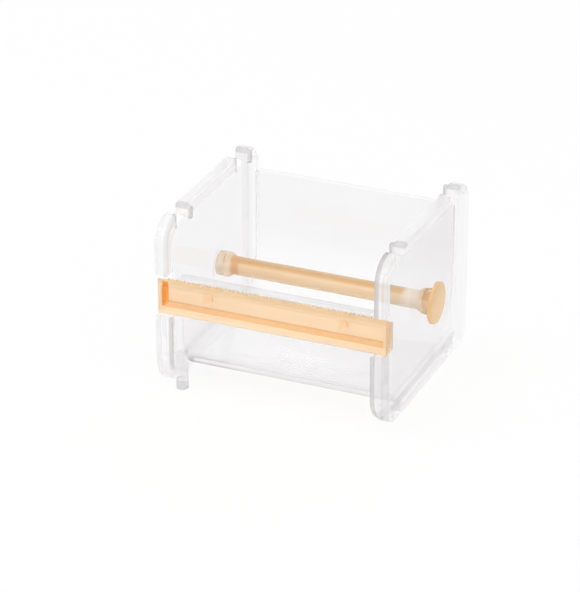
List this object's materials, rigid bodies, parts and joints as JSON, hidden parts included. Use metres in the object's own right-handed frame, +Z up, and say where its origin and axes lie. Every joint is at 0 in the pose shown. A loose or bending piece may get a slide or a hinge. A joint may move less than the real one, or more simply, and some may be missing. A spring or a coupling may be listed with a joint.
{
  "type": "desktop masking tape dispenser",
  "caption": "Clear stackable desktop dispenser for masking tape rolls, with a toothed cutter bar across the front and a spinning roller on a pull-out spindle.",
  "frame": {"origin": "on the ground under the centre of the case", "axes": "+Z up, -Y towards the cutter bar at the front, +X towards the knob along the spindle"},
  "size_m": [0.1, 0.094, 0.076],
  "materials": {
    "clear_plastic": "water-clear injection-moulded polystyrene, polished",
    "orange_plastic": "translucent pale orange polystyrene, polished"
  },
  "bodies": {
    "case": {"side_panel_left": "clear_plastic", "side_panel_right": "clear_plastic", "tray": "clear_plastic", "cutter_bar": "orange_plastic", "bar_pin_left": "orange_plastic", "bar_pin_right": "orange_plastic"},
    "spindle": {"axle": "orange_plastic", "axle_head": "orange_plastic", "knob": "orange_plastic"},
    "roller": {"roller": "orange_plastic"}
  },
  "joints": [
    {"name": "spindle_pull", "type": "slide", "parent": "case", "child": "spindle", "axis": [1, 0, 0], "range_m": [0, 0.1]},
    {"name": "roller_spin", "type": "hinge", "parent": "spindle", "child": "roller", "pos_m": [0, 0.013, 0.0321], "axis": [1, 0, 0], "continuous": true}
  ]
}
